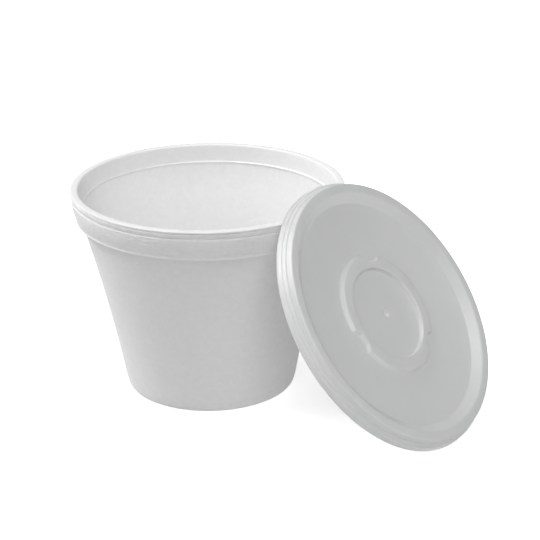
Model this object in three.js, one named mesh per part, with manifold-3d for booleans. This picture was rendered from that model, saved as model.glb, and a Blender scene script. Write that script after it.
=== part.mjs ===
// Takeaway soup container: a squat foam cup with its thin plastic lid leaning against the rim.
// Millimetres, +Z up. +X runs from the cup's middle towards the side where the lid leans.
import * as THREE from "three";
import { mergeVertices } from "three/addons/utils/BufferGeometryUtils.js";
import Module from "manifold-3d";

const wasm = await Module();
wasm.setup();

// Driving dimensions
const SIDES = 96;               // flats round every turned piece
const BENDS = 3;                // straight bits in each curved stretch of an outline

const CUP_HEIGHT = 90.3;        // ground to the top of the lip
const RIM_RADIUS = 58.5;        // widest line of the cup, on the lip
const BAND_TOP_RADIUS = 58.3;   // the flared band just under the groove
const LIP_WIDTH = 3.1;          // rounded land on top of the wall
const LIP_ROUND = 0.6;          // its outer edge
const LIP_INNER_ROUND = 0.8;
const BEAD_DEPTH = 3.3;         // top of the lip down to the fine groove under the bead
const GROOVE = 0.5;             // how far that groove is cut in, and about how tall it is
const BAND_DEPTH = 13;          // top of the lip down to the lower edge of the flared band
const BAND_LOW_RADIUS = 56.2;   // the band at that edge
const BAND_BULGE = 0.35;        // how far the band swells past a straight line
const COVE_DEPTH = 21.3;        // top of the lip down to where the cove runs into the cone
const CONE_TOP_RADIUS = 51.85;
const COVE_HOLLOW = 0.75;       // how far the cove dips in past a straight line
const CREASE_HEIGHT = 4.6;      // faint crease where the cone meets the rounded foot
const CREASE_RADIUS = 37;
const CONE_FLARE = 0.8;         // how far the cone's middle sits in from a straight line
const FOOT_RADIUS = 32.5;       // outer edge of the ring that the cup stands on
const FOOT_WIDTH = 2.6;
const FOOT_ROUND = 1.25;        // how far the rounded foot swells past a straight line
const RECESS = 1.2;             // lift of the base inside the foot ring
const RECESS_SLOPE = 0.8;
const BASE_TOP = 3.8;           // ground to the inside floor
const WALL = 1.8;               // foam wall of the cone, measured along the ground
const INNER_ROUND = 3.4;        // size of the rounded corner between inside wall and floor
const INNER_SWELL = 0.7;        // how far that corner swells past a straight line
const LEDGE_DEPTH = 7.2;        // top of the lip down to the stacking ledge inside
const LEDGE_WIDTH = 0.6;
const LEDGE_FALL = 0.3;         // how much the ledge slopes down inwards
const LEDGE_TAPER = 1.4;        // how much the wall above the ledge leans in

const LID_RADIUS = 59.8;        // the lid's open lip
const LID_WALL = 0.4;
const LIP_BAND = 2.3;           // height of the flared band along the lip
const LIP_FLARE = 0.5;
const SKIRT_RADIUS = 57.8;      // outer wall between the step and the shoulder
const STEP_HEIGHT = 3.8;        // foot of the small step below that wall
const STEP = 0.6;               // its width and its rise
const SHOULDER_RADIUS = 57.4;   // outer corner on top of the lid's rim
const SHOULDER_ROUND = 0.9;
const LID_TOP = 6.35;           // lip to the highest line of the rim
const CROWN_RADIUS = 53.4;      // where the rim's top turns down to the panel
const CROWN_ROUND = 0.6;
const PANEL_RADIUS = 49.6;      // sunk panel
const PANEL_HEIGHT = 3.3;       // lip to the panel's edge
const DISH_RADIUS = 30;         // the panel slopes down from its edge to here, and is flat further in
const DISH_HEIGHT = 2.2;
const RING_HEIGHT = 3.7;        // lip to the top of the raised stacking ring
const RING_OUTER = 25.5;
const RING_INNER = 20.3;
const RING_SLOPE = 1.1;         // how far the ring's outer wall leans out
const RING_DROP = 0.6;          // how far its inner wall leans in
const DISC_HEIGHT = 2;          // flat disc inside the ring
const VENT_RADIUS = 1.5;
const VENT_DEPTH = 0.6;
const NOTCHES = 3;
const NOTCH_START = 39;         // degrees, from the lid's downhill side to the first notch
const NOTCH_HALF = 9;           // degrees to each side
const NOTCH_FLOOR = 22.9;       // how far in the ring's wall steps at a notch

const LEAN = 36.34;             // degrees between the way the lid faces and the ground
const LID_REACH = 85.9;         // cup's middle to the lid's middle, along the ground

// Makes a solid from a closed three.js geometry.
function solid(geometry) {
  const bare = geometry.clone();
  bare.deleteAttribute("normal");
  bare.deleteAttribute("uv");
  const merged = mergeVertices(bare, 1e-4);
  return new wasm.Manifold(new wasm.Mesh({
    numProp: 3,
    vertProperties: new Float32Array(merged.attributes.position.array),
    triVerts: new Uint32Array(merged.index.array),
  }));
}

// Turns a solid back into a geometry that a mesh can show.
function geometryOf(body) {
  const { vertProperties, triVerts } = body.getMesh();
  const geometry = new THREE.BufferGeometry();
  geometry.setAttribute("position", new THREE.BufferAttribute(new Float32Array(vertProperties), 3));
  geometry.setIndex(new THREE.BufferAttribute(new Uint32Array(triVerts), 1));
  geometry.computeVertexNormals();
  return geometry;
}

// Turns an outline of radius and height points round the upright axis.
function turned(outline) {
  return solid(new THREE.LatheGeometry(outline, SIDES).rotateX(Math.PI / 2));
}

// Adds a curve to an outline: it ends at a point and swells sideways from the straight line there.
// A swell above zero pushes the curve's middle to the right of the way it runs.
function bow(path, radius, height, swell) {
  const from = path.currentPoint;
  const to = new THREE.Vector2(radius, height);
  const way = to.clone().sub(from).normalize();
  const middle = from.clone().add(to).multiplyScalar(0.5);
  path.quadraticCurveTo(middle.x + way.y * swell * 2, middle.y - way.x * swell * 2, radius, height);
}

// Foam cup: underside, outside, lip and inside, as one outline from axis to axis.
function cupOutline() {
  const ring = FOOT_RADIUS - FOOT_WIDTH;
  const groove = CUP_HEIGHT - BEAD_DEPTH;
  const lipInner = RIM_RADIUS - LIP_WIDTH;
  const ledge = CUP_HEIGHT - LEDGE_DEPTH;
  const aboveLedge = lipInner - LEDGE_TAPER;
  const insideFoot = CREASE_RADIUS - WALL;
  const path = new THREE.Path();
  path.moveTo(0, RECESS);
  path.lineTo(ring - RECESS_SLOPE, RECESS);
  path.lineTo(ring, 0);
  path.lineTo(FOOT_RADIUS, 0);
  bow(path, CREASE_RADIUS, CREASE_HEIGHT, FOOT_ROUND);
  bow(path, CONE_TOP_RADIUS, CUP_HEIGHT - COVE_DEPTH, -CONE_FLARE);
  bow(path, BAND_LOW_RADIUS, CUP_HEIGHT - BAND_DEPTH, -COVE_HOLLOW);
  bow(path, BAND_TOP_RADIUS, groove - GROOVE, BAND_BULGE);
  path.lineTo(BAND_TOP_RADIUS - GROOVE, groove);
  path.lineTo(RIM_RADIUS, groove + GROOVE);
  path.lineTo(RIM_RADIUS, CUP_HEIGHT - LIP_ROUND);
  path.quadraticCurveTo(RIM_RADIUS, CUP_HEIGHT, RIM_RADIUS - LIP_ROUND, CUP_HEIGHT);
  path.lineTo(lipInner + LIP_INNER_ROUND, CUP_HEIGHT);
  path.lineTo(lipInner, CUP_HEIGHT - LIP_INNER_ROUND);
  path.lineTo(aboveLedge, ledge);
  path.lineTo(aboveLedge - LEDGE_WIDTH, ledge - LEDGE_FALL);
  bow(path, insideFoot, BASE_TOP + INNER_ROUND, CONE_FLARE);
  bow(path, insideFoot - INNER_ROUND, BASE_TOP, -INNER_SWELL);
  path.lineTo(0, BASE_TOP);
  return path.getPoints(BENDS);
}

// The lid's outer face, from the open lip over the rim, down to the panel and in to the vent.
function lidFace() {
  const path = new THREE.Path();
  path.moveTo(LID_RADIUS, 0);
  path.lineTo(LID_RADIUS - LIP_FLARE, LIP_BAND);
  path.lineTo(SKIRT_RADIUS + STEP, STEP_HEIGHT);
  path.lineTo(SKIRT_RADIUS, STEP_HEIGHT + STEP);
  path.lineTo(SHOULDER_RADIUS, LID_TOP - SHOULDER_ROUND);
  path.quadraticCurveTo(SHOULDER_RADIUS, LID_TOP, SHOULDER_RADIUS - SHOULDER_ROUND, LID_TOP);
  path.lineTo(CROWN_RADIUS, LID_TOP);
  path.lineTo(CROWN_RADIUS - CROWN_ROUND, LID_TOP - CROWN_ROUND);
  path.lineTo(PANEL_RADIUS, PANEL_HEIGHT);
  path.lineTo(DISH_RADIUS, DISH_HEIGHT);
  path.lineTo(RING_OUTER + RING_SLOPE, DISH_HEIGHT);
  path.lineTo(RING_OUTER, RING_HEIGHT);
  path.lineTo(RING_INNER, RING_HEIGHT);
  path.lineTo(RING_INNER - RING_DROP, DISC_HEIGHT);
  path.lineTo(VENT_RADIUS, DISC_HEIGHT);
  path.lineTo(VENT_RADIUS / 2, DISC_HEIGHT - VENT_DEPTH);
  path.lineTo(0, DISC_HEIGHT - VENT_DEPTH);
  return path.getPoints(BENDS);
}

// Moves an outline by a wall's thickness, square to the line, to the left of the way it runs.
function inset(outline, wall) {
  const last = outline.length - 1;
  return outline.map((point, i) => {
    const before = point.clone().sub(outline[Math.max(i - 1, 0)]).normalize();
    const after = outline[Math.min(i + 1, last)].clone().sub(point).normalize();
    const along = before.clone().add(after).normalize();
    const stretch = Math.max(along.dot(i > 0 ? before : after), 0.5);
    return new THREE.Vector2(point.x - (along.y * wall) / stretch, point.y + (along.x * wall) / stretch);
  });
}

// A slice of a flat ring, between two radii and two heights, round a middle angle.
function ringSlice(inner, outer, middle, half, low, high) {
  const from = THREE.MathUtils.degToRad(middle - half);
  const to = THREE.MathUtils.degToRad(middle + half);
  const shape = new THREE.Shape();
  shape.absarc(0, 0, outer, from, to, false);
  shape.absarc(0, 0, inner, to, from, true);
  const block = new THREE.ExtrudeGeometry(shape, { depth: high - low, bevelEnabled: false, curveSegments: 6 });
  return solid(block.translate(0, 0, low));
}

// Cuts the places where the raised ring's outer wall steps in. The lid's back steps in by its wall too.
function cutNotches(body, wall) {
  let cut = body;
  for (let i = 0; i < NOTCHES; i += 1) {
    const middle = NOTCH_START + (360 / NOTCHES) * i;
    const wider = THREE.MathUtils.radToDeg(wall / RING_OUTER);
    cut = cut.subtract(ringSlice(
      NOTCH_FLOOR - wall, RING_OUTER + RING_SLOPE * 2, middle, NOTCH_HALF + wider,
      DISH_HEIGHT - wall, RING_HEIGHT + 1,
    ));
  }
  return cut;
}

// The lid is a thin shell: the filled outer shape less the same shape moved in by the wall.
function lidSolid() {
  const face = lidFace();
  const back = inset(face, LID_WALL);
  back[0].set(LID_RADIUS - LID_WALL, 0);
  back[back.length - 1].x = 0;
  const below = -1;
  const outer = turned([new THREE.Vector2(0, 0), ...face]);
  const hollow = turned([new THREE.Vector2(0, below), new THREE.Vector2(back[0].x, below), ...back]);
  return cutNotches(outer, 0).subtract(cutNotches(hollow, LID_WALL));
}

function cupMesh() {
  const foam = new THREE.MeshStandardMaterial({ color: "#f2f2f2", roughness: 0.75, metalness: 0 });
  const mesh = new THREE.Mesh(geometryOf(turned(cupOutline())), foam);
  mesh.name = "foam_cup";
  return mesh;
}

// The lid stands on its lower edge, facing out and up, with its back close to the cup's lip.
function lidMesh() {
  const plastic = new THREE.MeshStandardMaterial({ color: "#d8d9d9", roughness: 0.35, metalness: 0 });
  const mesh = new THREE.Mesh(geometryOf(lidSolid()), plastic);
  const lean = THREE.MathUtils.degToRad(LEAN);
  mesh.name = "lid";
  mesh.rotation.y = Math.PI / 2 - lean;
  mesh.position.set(LID_REACH, 0, LID_RADIUS * Math.cos(lean));
  return mesh;
}

const pair = new THREE.Group();
pair.add(cupMesh(), lidMesh());
pair.updateMatrixWorld(true);

// The origin is at ground level, under the middle of the box round cup and lid.
const box = new THREE.Box3().setFromObject(pair, true);
pair.position.set(-(box.min.x + box.max.x) / 2, -(box.min.y + box.max.y) / 2, -box.min.z);

const container = new THREE.Group();
container.add(pair);
container.updateMatrixWorld(true);

export default container;
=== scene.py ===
from math import cos, pi, radians, sin

import bpy
import numpy as np
from mathutils import Matrix, Vector, noise


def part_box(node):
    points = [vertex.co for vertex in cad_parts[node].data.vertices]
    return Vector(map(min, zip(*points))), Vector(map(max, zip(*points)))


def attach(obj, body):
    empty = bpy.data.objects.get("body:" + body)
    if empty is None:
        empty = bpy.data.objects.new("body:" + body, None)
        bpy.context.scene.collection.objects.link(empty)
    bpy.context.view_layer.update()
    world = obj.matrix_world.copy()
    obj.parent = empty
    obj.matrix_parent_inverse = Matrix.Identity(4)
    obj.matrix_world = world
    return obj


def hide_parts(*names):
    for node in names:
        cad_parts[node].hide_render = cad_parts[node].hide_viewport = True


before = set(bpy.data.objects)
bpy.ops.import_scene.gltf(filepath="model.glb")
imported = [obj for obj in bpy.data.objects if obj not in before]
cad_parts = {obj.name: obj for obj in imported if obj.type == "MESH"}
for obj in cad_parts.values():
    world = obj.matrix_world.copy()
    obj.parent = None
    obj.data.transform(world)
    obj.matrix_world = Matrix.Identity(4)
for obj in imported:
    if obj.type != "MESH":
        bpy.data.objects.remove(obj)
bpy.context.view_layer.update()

MM = 0.001

# Cup
CUP_HEIGHT = 90.3
RIM_RADIUS = 58.5
LIP_WIDTH = 3.4
LIP_ROUND = 0.6
LIP_INNER_ROUND = 0.8
LIP_UNDERCUT = 0.35      # how far the rim's side leans in, down to the groove
SEAM_DEPTH = 1.15        # top of the lip to the fine line under it
SEAM_HALF = 0.35         # half as high as the line is
SEAM_CUT = 0.9           # how deep it goes in
GROOVE_DEPTH = 3.3       # top of the lip to the groove above the band
GROOVE_HALF = 0.45
GROOVE_CUT = 1.0
BAND_TOP_RADIUS = 58.3
BAND_LOW_RADIUS = 56.2
BAND_DEPTH = 13.0        # top of the lip to the band's lower edge
BAND_BULGE = 0.35
BAND_EDGE = 0.15         # how far the band's lower edge stands out
BAND_EDGE_HEIGHT = 0.7
COVE_DEPTH = 21.3        # top of the lip to the foot of the hollow under the band
COVE_HOLLOW = 0.75
CONE_TOP_RADIUS = 51.85
CONE_FLARE = 0.8         # how far the wall curves in from a straight line
CREASE_RADIUS = 37.0     # where the wall turns into the rounded foot
CREASE_HEIGHT = 4.6
CREASE = 0.3             # how far the wall stands over the foot there
FOOT_RADIUS = 32.5
FOOT_WIDTH = 2.6         # width of the flat ring that the cup stands on
FOOT_ROUND = 1.45
RECESS = 1.2             # lift of the base inside that ring
RECESS_SLOPE = 0.8
BASE_TOP = 3.8           # ground to the inside floor
WALL = 1.8
INNER_ROUND = 3.4        # rounding between the inside wall and floor
INNER_LEAN = 0.24        # how far the inside wall goes out for each millimetre up
LEDGE_DEPTH = 7.2        # top of the lip to the stacking ledge inside
LEDGE_WIDTH = 0.5
LEDGE_FALL = 0.3
LEDGE_TAPER = 1.25       # how far the wall above the ledge leans in
LEDGE_NOSE = 0.3         # how far the ledge stands over the wall below it
LEDGE_NOSE_HEIGHT = 0.9
ROUND_STEPS = 4          # straight bits in a rounded corner
CUP_TURNS = 540          # steps round the cup
BEAD = 1.7               # width of a foam bead
BEAD_SQUASH = 2.2        # how much wider than tall it is, pressed against the mould
BAND_RELIEF = 0.35       # most that the seams between beads go in, on the rough band
SKIN_RELIEF = 0.03       # and on the smooth wall

# Lid
LID_RADIUS = 59.8
LID_WALL = 0.4
LIP_BAND = 2.3           # height of the lid's lowest, widest band
LIP_FLARE = 0.5
SKIRT_RADIUS = 57.8
SKIRT_TAPER = 0.35
STEP_HEIGHT = 3.8        # open side to the upper of the rim's two narrow shelves
STEP = 0.6               # how far the rim steps in there
SHELF_RISE = 0.15        # how much each shelf slopes
SHOULDER_RADIUS = 57.4
SHOULDER_ROUND = 0.6
LID_TOP = 6.35
CROWN_RADIUS = 53.4
CROWN_ROUND = 0.6
PANEL_RADIUS = 49.6
PANEL_HEIGHT = 3.3
DISH_RADIUS = 30.0       # where the panel's slope levels out
DISH_HEIGHT = 2.2
RING_HEIGHT = 3.7
RING_OUTER = 25.5
RING_INNER = 20.3
RING_SLOPE = 1.1
RING_DROP = 0.6          # how far the ring's inner wall leans in
DISC_HEIGHT = 2.0
VENT_RADIUS = 1.7
VENT_DEPTH = 0.9
NOTCHES = 3
NOTCH_START = 39.0       # degrees from the lid's downhill side
NOTCH_HALF = 9.0         # half as wide as it is, at half its depth
NOTCH_FLOOR = 22.9
NOTCH_EDGE = 7.0         # degrees that a notch's sloped end takes
LID_TURN = 0.75          # degrees from one outline to the next
LEAN = radians(36.34)    # how far the lid leans back from upright

# Camera, as seen from the cup's middle on the ground
CAMERA_TURN = 34.05      # degrees round from straight in front
CAMERA_REACH = 910.0
CAMERA_HEIGHT = 405.0
CAMERA_RIGHT = 1.65      # degrees that it looks to the right of the cup
CAMERA_DOWN = 21.26
CAMERA_ROLL = -0.66
CAMERA_LENS = 150.7
CAMERA_SENSOR = 36.0

# Studio
ROOM = 6.0               # metres from the middle to each wall
LAMP_WIDTH = 40          # degrees across, as seen from the object
FLOOR_GLOW = 0.6         # light of the floor's own, next to 1 for white
WALL_GLOW = 1.0
LIGHT_FROM_BELOW = 0.44  # even light from below, next to 1 for a white floor


def leg(radius, height, rounding=0.0, steps=1, swell=0.0, relief=0.0):
    """One stretch of an outline, up to a corner that may be rounded off."""
    return Vector((radius, height)), rounding, steps, swell, relief


def bend(start, middle, end, t):
    """The spot at t, from 0 to 1, on a curve that leaves start and reaches end in line with middle."""
    return start * (1 - t) ** 2 + middle * 2 * t * (1 - t) + end * t ** 2


def outline(start, legs):
    """Radius, height and relief of each point of an outline. A leg swells to the right of its way, and
    each corner is rounded off from a little before it to as much after it."""
    here = Vector(start)
    curves = []
    for corner, rounding, steps, swell, relief in legs:
        way = corner - here
        side = Vector((way.y, -way.x)).normalized()
        curves.append((here, (here + corner) / 2 + side * swell * 2, corner))
        here = corner
    points = []
    cut = 0.0
    for i, (corner, rounding, steps, swell, relief) in enumerate(legs):
        length = (corner - curves[i][0]).length
        first, last = cut / length, 1 - rounding / length
        for k in range(steps + 1):
            spot = bend(*curves[i], first + (last - first) * k / steps)
            points.append((spot.x, spot.y, relief))
        cut = rounding
        if rounding:
            leave = bend(*curves[i], last)
            join = bend(*curves[i + 1], rounding / (curves[i + 1][2] - corner).length)
            for k in range(1, ROUND_STEPS):
                spot = bend(leave, corner, join, k / ROUND_STEPS)
                points.append((spot.x, spot.y, relief))
        else:
            points.pop()
    points.append((*here, 0.0))
    return np.array(points)


def spin(name, angles, outlines, place):
    """One closed mesh from an outline at every angle. Each outline starts and ends on the axis."""
    rings = outlines[:, 1:-1]
    count, points = rings.shape[:2]
    spots = np.empty((count, points, 3))
    spots[..., 0] = rings[..., 0] * np.cos(angles)[:, None]
    spots[..., 1] = rings[..., 0] * np.sin(angles)[:, None]
    spots[..., 2] = rings[..., 1]
    poles = np.array([[0, 0, outlines[0, 0, 1]], [0, 0, outlines[0, -1, 1]]])
    here = np.arange(count * points).reshape(count, points)
    there = np.roll(here, -1, axis=0)
    quads = np.stack([here[:, :-1], there[:, :-1], there[:, 1:], here[:, 1:]], -1).reshape(-1, 4)
    first = np.full(count, count * points)
    start = np.stack([first, there[:, 0], here[:, 0]], -1)
    end = np.stack([first + 1, here[:, -1], there[:, -1]], -1)
    mesh = bpy.data.meshes.new(name)
    spots = np.concatenate([spots.reshape(-1, 3), poles]) * MM
    mesh.from_pydata(spots.tolist(), [], quads.tolist() + start.tolist() + end.tolist())
    mesh.transform(place)
    mesh.shade_smooth()
    piece = bpy.data.objects.new(name, mesh)
    bpy.context.scene.collection.objects.link(piece)
    return piece


def out_of(spots):
    """Unit vectors square to an outline, to the right of its way: out of the solid."""
    ahead = np.roll(spots, -1, axis=0)
    behind = np.roll(spots, 1, axis=0)
    ahead[-1] = spots[-1]
    behind[0] = spots[0]
    way = ahead - behind
    way /= np.linalg.norm(way, axis=-1, keepdims=True)
    return np.stack([way[:, 1], -way[:, 0]], -1)


def cup_outline():
    """Underside, outside, lip and inside of the foam cup, from axis to axis."""
    ring = FOOT_RADIUS - FOOT_WIDTH
    seam = CUP_HEIGHT - SEAM_DEPTH
    groove = CUP_HEIGHT - GROOVE_DEPTH
    band_foot = CUP_HEIGHT - BAND_DEPTH
    lip_inner = RIM_RADIUS - LIP_WIDTH
    ledge = CUP_HEIGHT - LEDGE_DEPTH
    above_ledge = lip_inner - LEDGE_TAPER
    inside_foot = CREASE_RADIUS - WALL - INNER_ROUND * INNER_LEAN
    return outline((0.0, RECESS), [
        leg(ring - RECESS_SLOPE, RECESS, 0.4, 3),
        leg(ring, 0, 0.4),
        leg(FOOT_RADIUS, 0, 0.5),
        leg(CREASE_RADIUS - CREASE, CREASE_HEIGHT - CREASE / 2, 0.1, 5, FOOT_ROUND, SKIN_RELIEF),
        leg(CREASE_RADIUS, CREASE_HEIGHT, 0.12),
        leg(CONE_TOP_RADIUS, CUP_HEIGHT - COVE_DEPTH, 2.5, 22, -CONE_FLARE, SKIN_RELIEF),
        leg(BAND_LOW_RADIUS + BAND_EDGE, band_foot, 0.3, 10, -COVE_HOLLOW, SKIN_RELIEF * 2),
        leg(BAND_LOW_RADIUS, band_foot + BAND_EDGE_HEIGHT, 0.3),
        leg(BAND_TOP_RADIUS, groove - GROOVE_HALF, 0.2, 24, BAND_BULGE, BAND_RELIEF),
        leg(BAND_TOP_RADIUS - GROOVE_CUT, groove, 0.1),
        leg(RIM_RADIUS - LIP_UNDERCUT, groove + GROOVE_HALF, 0.1),
        leg(RIM_RADIUS, seam - SEAM_HALF, 0.1, 4, 0, BAND_RELIEF / 2),
        leg(RIM_RADIUS - SEAM_CUT, seam, 0.1),
        leg(RIM_RADIUS, seam + SEAM_HALF, 0.1),
        leg(RIM_RADIUS, CUP_HEIGHT, LIP_ROUND),
        leg(lip_inner, CUP_HEIGHT, LIP_INNER_ROUND, 1, 0, SKIN_RELIEF),
        leg(above_ledge, ledge, 0.25, 5, 0, SKIN_RELIEF),
        leg(above_ledge - LEDGE_WIDTH - LEDGE_NOSE / 2, ledge - LEDGE_FALL, 0.2),
        leg(above_ledge - LEDGE_WIDTH + LEDGE_NOSE / 2, ledge - LEDGE_FALL - LEDGE_NOSE_HEIGHT, 0.3),
        leg(inside_foot, BASE_TOP, INNER_ROUND, 14, CONE_FLARE, SKIN_RELIEF),
        leg(0, BASE_TOP, 0, 3),
    ])


def bead_swell(spot):
    """How proud the foam's skin is there: 1 on a bead's back, and less towards the seams."""
    nearest = noise.voronoi(spot / BEAD)[0][0]
    return 1 - min(nearest, 1) ** 2


def foam_cup(middle):
    """The cup, turned, with the seams between its beads pressed in where an outline point has relief."""
    points = cup_outline()
    angles = np.arange(CUP_TURNS) * 2 * pi / CUP_TURNS
    outlines = np.repeat(points[None, :, :2], CUP_TURNS, axis=0)
    out = out_of(points[:, :2])
    for i in np.nonzero(points[:, 2])[0]:
        radius, height, relief = points[i]
        for j, angle in enumerate(angles):
            swell = bead_swell(Vector((radius * cos(angle), radius * sin(angle), height * BEAD_SQUASH)))
            outlines[j, i] -= out[i] * relief * (1 - swell)
    return spin("foam_cup_body", angles, outlines, Matrix.Translation((middle, 0, 0)))


def lid_corners(notch):
    """Corners of the lid's outer face, from the open lip in to the axis, and how far each is rounded.
    notch is 1 where the ring steps in."""
    ring = RING_OUTER + (NOTCH_FLOOR - RING_OUTER) * notch
    return [
        (LID_RADIUS, 0, 0),
        (LID_RADIUS - LIP_FLARE, LIP_BAND, 0.25),
        (SKIRT_RADIUS + STEP + SKIRT_TAPER, LIP_BAND + SHELF_RISE, 0.15),
        (SKIRT_RADIUS + STEP, STEP_HEIGHT, 0.25),
        (SKIRT_RADIUS, STEP_HEIGHT + SHELF_RISE, 0.15),
        (SHOULDER_RADIUS, LID_TOP, SHOULDER_ROUND),
        (CROWN_RADIUS, LID_TOP, CROWN_ROUND),
        (PANEL_RADIUS, PANEL_HEIGHT, 0.4),
        (DISH_RADIUS, DISH_HEIGHT, 2.0),
        (ring + RING_SLOPE, DISH_HEIGHT, 0.35),
        (ring, RING_HEIGHT, 0.35),
        (RING_INNER, RING_HEIGHT, 0.35),
        (RING_INNER - RING_DROP, DISC_HEIGHT, 0.3),
        (VENT_RADIUS, DISC_HEIGHT, 0.2),
        (VENT_RADIUS / 2, DISC_HEIGHT - VENT_DEPTH, 0.2),
        (0, DISC_HEIGHT - VENT_DEPTH, 0),
    ]


def lid_outline(notch):
    """Back of the shell from the axis out to the lip, then the face back in to the axis."""
    face = lid_corners(notch)
    spots = [Vector(corner[:2]) for corner in face]
    back = []
    for i, (radius, height, rounding) in enumerate(face):
        before = (spots[i] - spots[max(i - 1, 0)]).normalized()
        after = (spots[min(i + 1, len(face) - 1)] - spots[i]).normalized()
        along = (before + after).normalized()
        reach = LID_WALL / along.dot(after if i == 0 else before)
        back.append((radius - along.y * reach, height + along.x * reach, rounding))
    back[0] = (LID_RADIUS - LID_WALL, 0, 0)
    legs = [leg(*corner, 3) for corner in back[-2::-1] + face[:-1]]
    return outline((0, back[-1][1]), legs + [leg(0, face[-1][1])])[:, :2]


def notch_at(degrees):
    """1 inside a notch, 0 outside, with a short slope at each end."""
    step = 360 / NOTCHES
    away = abs((degrees - NOTCH_START + step / 2) % step - step / 2)
    t = min(max((NOTCH_HALF - away) / NOTCH_EDGE + 0.5, 0), 1)
    return t * t * (3 - 2 * t)


def lid(middle):
    """The lid, standing on its lower edge and leaning back on the cup."""
    degrees = np.arange(0, 360, LID_TURN)
    outlines = np.array([lid_outline(notch_at(d)) for d in degrees])
    lift = LID_RADIUS * cos(LEAN)
    place = Matrix.Translation((middle, 0, lift * MM)) @ Matrix.Rotation(pi / 2 - LEAN, 4, "Y")
    return spin("lid_shell", np.radians(degrees), outlines, place)


def colour(code):
    """An sRGB hex colour as the linear one that a shader takes."""
    parts = [int(code[i:i + 2], 16) / 255 for i in (1, 3, 5)]
    return [c / 12.92 if c <= 0.04045 else ((c + 0.055) / 1.055) ** 2.4 for c in parts] + [1.0]


def add(tree, kind, inputs=None, **settings):
    """Adds a node with its settings. inputs gives each socket a value, or another node's output."""
    made = tree.nodes.new(kind)
    for name, value in settings.items():
        setattr(made, name, value)
    for socket, value in (inputs or {}).items():
        if isinstance(value, bpy.types.NodeSocket):
            tree.links.new(value, made.inputs[socket])
        else:
            made.inputs[socket].default_value = value
    return made


def fresh(name):
    """A new material and its node tree, emptied."""
    material = bpy.data.materials.new(name)
    material.use_nodes = True
    material.node_tree.nodes.clear()
    return material, material.node_tree


def finish_material(tree, shader):
    add(tree, "ShaderNodeOutputMaterial", {"Surface": shader.outputs["BSDF"]})


def moulded_expanded_polystyrene():
    """Polystyrene beads of 1.7 mm, blown up and fused by steam against a smooth mould. The eye gets a
    matt white skin with a faint net of seams, beads that differ by a trace, and light sinking in."""
    material, tree = fresh("moulded_expanded_polystyrene")
    place = add(tree, "ShaderNodeTexCoord").outputs["Object"]
    scale = 1 / (BEAD * MM)
    seams = add(tree, "ShaderNodeTexVoronoi", {"Vector": place, "Scale": scale}, feature="DISTANCE_TO_EDGE")
    beads = add(tree, "ShaderNodeTexVoronoi", {"Vector": place, "Scale": scale})
    edge = add(tree, "ShaderNodeMapRange", {"Value": seams.outputs["Distance"], "From Max": 0.12})
    tones = {0: beads.outputs["Color"], 6: colour("#eeeeee"), 7: colour("#f2f2f2")}
    tone = add(tree, "ShaderNodeMix", tones, data_type="RGBA")
    # Pores of 0.35 mm in the pressed skin
    skin = add(tree, "ShaderNodeTexNoise", {"Vector": place, "Scale": 1 / (0.35 * MM), "Detail": 2.0})
    low = add(tree, "ShaderNodeBump", {"Height": edge.outputs[0], "Strength": 0.5,
                                       "Distance": SKIN_RELIEF * MM})
    fine = add(tree, "ShaderNodeBump", {"Height": skin.outputs["Fac"], "Normal": low.outputs["Normal"],
                                        "Strength": 0.4, "Distance": 0.02 * MM})
    shader = add(tree, "ShaderNodeBsdfPrincipled", {
        "Base Color": tone.outputs[2], "Roughness": 0.62, "IOR": 1.45, "Normal": fine.outputs["Normal"],
        "Subsurface Weight": 1.0, "Subsurface Radius": (1.0, 1.0, 1.0), "Subsurface Scale": 0.2 * MM,
    })
    finish_material(tree, shader)
    return material


def formed_polystyrene_sheet():
    """Milky polystyrene sheet, heated and drawn over a mould to 0.4 mm. The eye gets a soft gloss that
    catches light along each step, a grey-white that lets light through, and a faint orange peel."""
    material, tree = fresh("formed_polystyrene_sheet")
    place = add(tree, "ShaderNodeTexCoord").outputs["Object"]
    # Sheet that thins unevenly as it is drawn, in clouds 9 mm across
    cloud = add(tree, "ShaderNodeTexNoise", {"Vector": place, "Scale": 1 / (9 * MM), "Detail": 3.0})
    tones = {0: cloud.outputs["Fac"], 6: colour("#d8d9d9"), 7: colour("#dcdddd")}
    tone = add(tree, "ShaderNodeMix", tones, data_type="RGBA")
    # A roughness that crosses 0.27 comes out with white specks, so it stays above that
    rough = add(tree, "ShaderNodeMapRange", {"Value": cloud.outputs["Fac"], "To Min": 0.29, "To Max": 0.36})
    # Orange peel 1.1 mm across
    peel = add(tree, "ShaderNodeTexNoise", {"Vector": place, "Scale": 1 / (1.1 * MM), "Detail": 1.0})
    bump = add(tree, "ShaderNodeBump", {"Height": peel.outputs["Fac"], "Strength": 0.5,
                                        "Distance": 0.01 * MM})
    shader = add(tree, "ShaderNodeBsdfPrincipled", {
        "Base Color": tone.outputs[2], "Roughness": rough.outputs[0], "IOR": 1.59,
        "Normal": bump.outputs["Normal"],
        "Subsurface Weight": 0.8, "Subsurface Radius": (1.0, 1.0, 1.0), "Subsurface Scale": 0.8 * MM,
    })
    finish_material(tree, shader)
    return material


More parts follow.
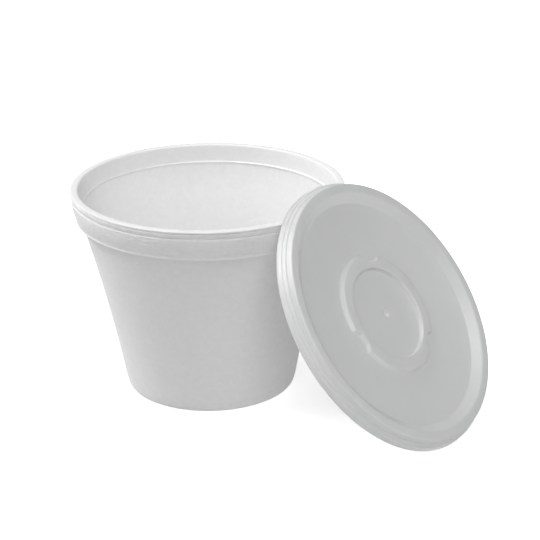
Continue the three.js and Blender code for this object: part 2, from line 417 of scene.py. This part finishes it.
def opal_acrylic(name, glow):
    """Cast opal acrylic sheet, matt, with lamps behind it as in a photographer's light table. The eye gets
    an even white that takes only faint shadows."""
    material, tree = fresh(name)
    place = add(tree, "ShaderNodeTexCoord").outputs["Object"]
    # Filler that lies a little unevenly, in clouds 60 mm across
    cloud = add(tree, "ShaderNodeTexNoise", {"Vector": place, "Scale": 1 / (60 * MM), "Detail": 2.0})
    tones = {0: cloud.outputs["Fac"], 6: colour("#f9f9f9"), 7: colour("#fbfbfb")}
    tone = add(tree, "ShaderNodeMix", tones, data_type="RGBA")
    shader = add(tree, "ShaderNodeBsdfPrincipled", {
        "Base Color": tone.outputs[2], "Roughness": 0.9,
        "Emission Color": colour("#ffffff"), "Emission Strength": glow,
    })
    finish_material(tree, shader)
    return material


def stand(name, corners, faces, material):
    """A part of the studio that gives the object no light, and lets the lamps' light through."""
    mesh = bpy.data.meshes.new(name)
    mesh.from_pydata(corners, [], faces)
    mesh.materials.append(material)
    piece = bpy.data.objects.new(name, mesh)
    bpy.context.scene.collection.objects.link(piece)
    piece.visible_diffuse = False
    piece.visible_shadow = False
    return piece


def light_table():
    """White floor and the walls behind it. Their full bounce would flatten the foam, so they give none."""
    low = [(-ROOM, -ROOM, 0), (ROOM, -ROOM, 0), (ROOM, ROOM, 0), (-ROOM, ROOM, 0)]
    high = [(x, y, ROOM) for x, y, z in low]
    stand("floor", low, [(0, 1, 2, 3)], opal_acrylic("opal_acrylic_floor", FLOOR_GLOW))
    sides = [(i, (i + 1) % 4, (i + 1) % 4 + 4, i + 4) for i in range(4)]
    walls = stand("walls", low + high, sides, opal_acrylic("opal_acrylic_walls", WALL_GLOW))
    walls.visible_glossy = False
    walls.visible_transmission = False


def camera(middle):
    """The camera, placed as the photograph was taken."""
    turn = radians(CAMERA_TURN)
    data = bpy.data.cameras.new("camera")
    data.lens = CAMERA_LENS
    data.sensor_width = CAMERA_SENSOR
    view = bpy.data.objects.new("camera", data)
    bpy.context.scene.collection.objects.link(view)
    reach = CAMERA_REACH * MM
    spot = Vector((middle + reach * sin(turn), -reach * cos(turn), CAMERA_HEIGHT * MM))
    heading = Matrix.Rotation(turn - radians(CAMERA_RIGHT), 4, "Z")
    pitch = Matrix.Rotation(pi / 2 - radians(CAMERA_DOWN), 4, "X")
    roll = Matrix.Rotation(radians(CAMERA_ROLL), 4, "Z")
    view.matrix_world = Matrix.Translation(spot) @ heading @ pitch @ roll
    bpy.context.scene.camera = view


def lamp(name, turn, rise, strength):
    """A wide soft lamp far away. turn is in degrees round from the camera, and rise is above the ground."""
    data = bpy.data.lights.new(name, "SUN")
    data.angle = radians(LAMP_WIDTH)
    data.energy = strength
    piece = bpy.data.objects.new(name, data)
    bpy.context.scene.collection.objects.link(piece)
    turn, rise = radians(CAMERA_TURN + turn), radians(rise)
    way = Vector((sin(turn) * cos(rise), -cos(turn) * cos(rise), sin(rise)))
    piece.rotation_euler = way.to_track_quat("Z", "Y").to_euler()


def studio():
    """Soft lamps round the object, and the even light that a white table gives from below."""
    lamp("left_softbox", -100, 50, 1.93)
    lamp("low_left_filler", -120, 15, 0.83)
    lamp("front_softbox", 0, 30, 1.16)
    lamp("overhead_softbox", 45, 70, 0.88)
    lamp("right_filler", 90, 30, 0.33)
    world = bpy.data.worlds.new("studio")
    world.use_nodes = True
    tree = world.node_tree
    way = add(tree, "ShaderNodeTexCoord").outputs["Generated"]
    height = add(tree, "ShaderNodeSeparateXYZ", {0: way}).outputs["Z"]
    below = add(tree, "ShaderNodeMath", {0: height, 1: 0.0}, operation="LESS_THAN")
    sky = tree.nodes["Background"]
    sky.inputs["Color"].default_value = [LIGHT_FROM_BELOW] * 3 + [1.0]
    tree.links.new(below.outputs[0], sky.inputs["Strength"])
    bpy.context.scene.world = world
    bpy.context.scene.view_settings.view_transform = "Standard"


def dress(piece, material, node):
    """Gives a piece its material, and puts it in the place of the solid that it stands for."""
    piece.data.materials.append(material)
    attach(piece, "root")
    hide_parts(node)


cup_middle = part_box("foam_cup")[0].x + RIM_RADIUS * MM
lid_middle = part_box("lid")[0].x + LID_RADIUS * sin(LEAN) * MM

camera(cup_middle)
dress(foam_cup(cup_middle), moulded_expanded_polystyrene(), "foam_cup")
dress(lid(lid_middle), formed_polystyrene_sheet(), "lid")
light_table()
studio()
